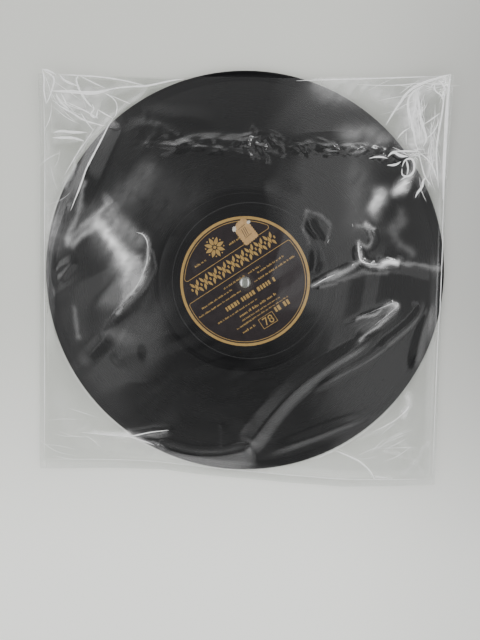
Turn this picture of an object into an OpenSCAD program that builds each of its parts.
// Ten-inch laminated 78 rpm record in its clear film sleeve.
// The record lies flat on the plane z = 0 with the spindle axis on Z and its A side upwards.
// The sleeve's mouth is at +Y, and its bottom seam is at -Y.

/* [Record] */
// Diameter of the record
record_d = 250; // [240:1:305]
// Diameter of the spindle hole
spindle_d = 7.24; // [7.1:0.02:7.6]
// Thickness of the core layer
core_t = 1.1; // [0.8:0.05:1.6]
// Thickness of each paper ply between the core and a playing face
ply_t = 0.1; // [0.05:0.01:0.2]
// Thickness of each playing face, which is also the radius of its rounded rim
face_t = 0.45; // [0.3:0.05:0.8]

/* [Grooves] */
// Radius of the lead-in groove that circles just inside the rim
lead_in_r = 121.5; // [110:0.5:123]
// Radius of the closed run-out groove
lock_r = 49; // [46:0.5:56]
// How far the run-out groove is off the spindle axis
lock_offset = 3.2; // [0:0.1:3.5]
// Width of these two grooves at the surface
wide_groove_w = 0.5; // [0.2:0.05:0.8]
// Depth of these two grooves
wide_groove_depth = 0.12; // [0.06:0.01:0.18]

/* [Labels] */
// Diameter of the paper labels
label_d = 82; // [70:1:86]
// Thickness of a label, which is pressed flush into its face
label_t = 0.12; // [0.08:0.01:0.16]
// Gap between a label's edge and the wall of its recess
label_play = 0.05; // [0.02:0.01:0.2]

/* [Royalty stamp] */
// Width of the gummed paper stamp on the front label
stamp_w = 10.5; // [8:0.5:14]
// Height of the stamp
stamp_h = 15; // [10:0.5:16]
// Thickness of the stamp
stamp_t = 0.1; // [0.05:0.01:0.2]
// Distance from the label's edge to the middle of the stamp
stamp_inset = 9.5; // [9:0.5:14]
// Turn of the stamp, counter-clockwise
stamp_turn = 39; // [0:1:60]
// Spacing of the stamp's perforations
perforation_pitch = 1.45; // [1:0.05:2.5]
// Diameter of the stamp's perforations
perforation_d = 0.8; // [0.4:0.05:0.9]

/* [Sleeve] */
// Thickness of the clear film
film_t = 0.1; // [0.05:0.01:0.2]
// Clearance between the film and what it lies over
film_gap = 0.3; // [0.2:0.05:1]
// Play between the record's rim and the left side of the pocket
play_left = 4.5; // [0.5:0.5:8]
// Play between the record's rim and the right side of the pocket
play_right = 0.5; // [0.5:0.5:8]
// Play between the record's rim and the bottom of the pocket
play_bottom = 1.5; // [0.5:0.5:8]
// How far the record's rim stands out of the mouth
rim_peep = 3; // [0:0.5:10]
// Width over which the two sheets slant together at a seam
seam_slant = 2; // [1:0.5:6]
// Width of the welded strip at each side
side_weld_w = 1.5; // [1:0.5:6]
// Width of the welded strip along the bottom
bottom_weld_w = 4.5; // [1:0.5:8]

/* [Hidden] */
$fn = 192;
record_r = record_d / 2;
bore_r = spindle_d / 2;
label_r = label_d / 2;
record_t = core_t + 2 * ply_t + 2 * face_t;
back_ply_z = face_t;
core_z = back_ply_z + ply_t;
front_ply_z = core_z + core_t;
front_face_z = front_ply_z + ply_t;
front_label_z = record_t - label_t;
stamp_y = label_r - stamp_inset;
tear = stamp_w * 0.4;
// How far a cutting shape runs past what it cuts.
cut_over = 1;

film_front_z = record_t + stamp_t + film_gap;
film_back_z = -film_gap - film_t;
film_mid_z = (film_front_z + film_t + film_back_z) / 2;
pocket_left = -record_r - play_left;
pocket_right = record_r + play_right;
pocket_bottom = -record_r - play_bottom;
mouth_y = record_r - rim_peep;

film_clear = [0.86, 0.9, 0.9, 0.3];

// A flat ring round the spindle axis, from the bore to radius r.
module bored_disc(r, z, t) {
  translate([0, 0, z]) rotate_extrude() translate([bore_r, 0]) square([r - bore_r, t]);
}

// Half section of the front playing face: bore to rim, with the recess for the label in its top
// and the rim rounded into the straight edge of the layers below.
module face_section() {
  difference() {
    union() {
      translate([bore_r, 0]) square([record_r - face_t - bore_r, face_t]);
      intersection() {
        translate([record_r - face_t, 0]) circle(r = face_t);
        translate([record_r - face_t, 0]) square([face_t, face_t]);
      }
    }
    translate([0, face_t - label_t]) square([label_r + label_play, 2 * label_t]);
  }
}

// A V groove that circles at radius r with its mouth at the top of a playing face.
module ring_groove(r) {
  rotate_extrude() translate([r, face_t])
    polygon([
      [-wide_groove_w, wide_groove_depth],
      [wide_groove_w, wide_groove_depth],
      [0, -wide_groove_depth]
    ]);
}

// A playing face with its lead-in groove and its eccentric run-out groove, top side up at z = 0.
module playing_face() {
  difference() {
    rotate_extrude() face_section();
    ring_groove(lead_in_r);
    translate([lock_offset, 0, 0]) ring_groove(lock_r);
  }
}

module core() {
  color([0.16, 0.14, 0.13]) bored_disc(record_r, core_z, core_t);
}

module back_paper_ply() {
  color([0.45, 0.36, 0.26]) bored_disc(record_r, back_ply_z, ply_t);
}

module front_paper_ply() {
  color([0.45, 0.36, 0.26]) bored_disc(record_r, front_ply_z, ply_t);
}

module back_playing_face() {
  color([0.03, 0.03, 0.035]) translate([0, 0, face_t]) rotate([180, 0, 0]) playing_face();
}

module front_playing_face() {
  color([0.03, 0.03, 0.035]) translate([0, 0, front_face_z]) playing_face();
}

module back_label() {
  color([0.15, 0.11, 0.16]) bored_disc(label_r, 0, label_t);
}

module front_label() {
  color([0.15, 0.11, 0.16]) bored_disc(label_r, front_label_z, label_t);
}

// Half discs along one edge of the stamp, which runs along X and is centred.
module perforations(edge_w) {
  count = floor(edge_w / perforation_pitch);
  for (i = [0 : count])
    translate([(i - count / 2) * perforation_pitch, 0]) circle(d = perforation_d, $fn = 24);
}

// Outline of the stamp, with its perforated edges and the corner that was torn away.
module stamp_outline() {
  difference() {
    square([stamp_w, stamp_h], center = true);
    for (side = [-1, 1]) {
      translate([0, side * stamp_h / 2]) perforations(stamp_w);
      translate([side * stamp_w / 2, 0]) rotate([0, 0, 90]) perforations(stamp_h);
    }
    translate([-stamp_w / 2, stamp_h / 2]) polygon([
      [-cut_over, cut_over], [-cut_over, -tear], [tear * 0.25, -tear * 0.8],
      [tear * 0.3, -tear * 0.55], [tear * 0.6, -tear * 0.4], [tear * 0.75, -tear * 0.15],
      [tear, cut_over]
    ]);
  }
}

module royalty_stamp() {
  color([0.78, 0.6, 0.42]) translate([0, stamp_y, record_t]) rotate([0, 0, stamp_turn])
    linear_extrude(stamp_t) stamp_outline();
}

// A flat sheet of film over the whole pocket.
module film_sheet(z) {
  color(film_clear) translate([pocket_left, pocket_bottom, z])
    cube([pocket_right - pocket_left, mouth_y - pocket_bottom, film_t]);
}

module sleeve_back_sheet() {
  film_sheet(film_back_z);
}

module sleeve_front_sheet() {
  film_sheet(film_front_z);
}

// Section across a seam, at x = 0 where the sheets start to close and pointing along +X:
// two slanting legs of film that meet in a welded strip of double thickness.
module seam_section(weld_w) {
  polygon([
    [0, film_front_z + film_t], [seam_slant, film_mid_z + film_t],
    [seam_slant + weld_w, film_mid_z + film_t], [seam_slant + weld_w, film_mid_z - film_t],
    [seam_slant, film_mid_z - film_t], [0, film_back_z], [0, film_back_z + film_t],
    [seam_slant, film_mid_z], [0, film_front_z]
  ]);
}

// A straight seam that runs along +Y from y = 0 and points along +X.
module seam(length, weld_w) {
  translate([0, length, 0]) rotate([90, 0, 0]) linear_extrude(length) seam_section(weld_w);
}

// An outline that trims a seam, drawn upwards through its whole height.
module through_seam() {
  height = film_front_z + film_t - film_back_z;
  translate([0, 0, film_back_z - cut_over]) linear_extrude(height + 2 * cut_over) children();
}

// A side seam with its lower end cut at 45 degrees, where it meets the bottom seam.
module side_seam() {
  length = mouth_y - pocket_bottom + seam_slant;
  intersection() {
    translate([0, -seam_slant, 0]) seam(length, side_weld_w);
    through_seam() polygon([
      [0, 0], [seam_slant, -seam_slant], [seam_slant + side_weld_w, -seam_slant],
      [seam_slant + side_weld_w, length - seam_slant], [0, length - seam_slant]
    ]);
  }
}

module sleeve_left_seam() {
  color(film_clear) translate([pocket_left, pocket_bottom, 0]) mirror([1, 0, 0]) side_seam();
}

module sleeve_right_seam() {
  color(film_clear) translate([pocket_right, pocket_bottom, 0]) side_seam();
}

module sleeve_bottom_seam() {
  pocket_w = pocket_right - pocket_left;
  side_w = seam_slant + side_weld_w;
  bottom_w = seam_slant + bottom_weld_w;
  color(film_clear) translate([pocket_left, pocket_bottom, 0]) intersection() {
    translate([-side_w, 0, 0]) rotate([0, 0, -90])
      seam(pocket_w + 2 * side_w, bottom_weld_w);
    through_seam() polygon([
      [0, 0], [-seam_slant, -seam_slant], [-side_w, -seam_slant], [-side_w, -bottom_w],
      [pocket_w + side_w, -bottom_w], [pocket_w + side_w, -seam_slant],
      [pocket_w + seam_slant, -seam_slant], [pocket_w, 0]
    ]);
  }
}

core();
back_paper_ply();
front_paper_ply();
back_playing_face();
front_playing_face();
back_label();
front_label();
royalty_stamp();
sleeve_back_sheet();
sleeve_front_sheet();
sleeve_left_seam();
sleeve_right_seam();
sleeve_bottom_seam();
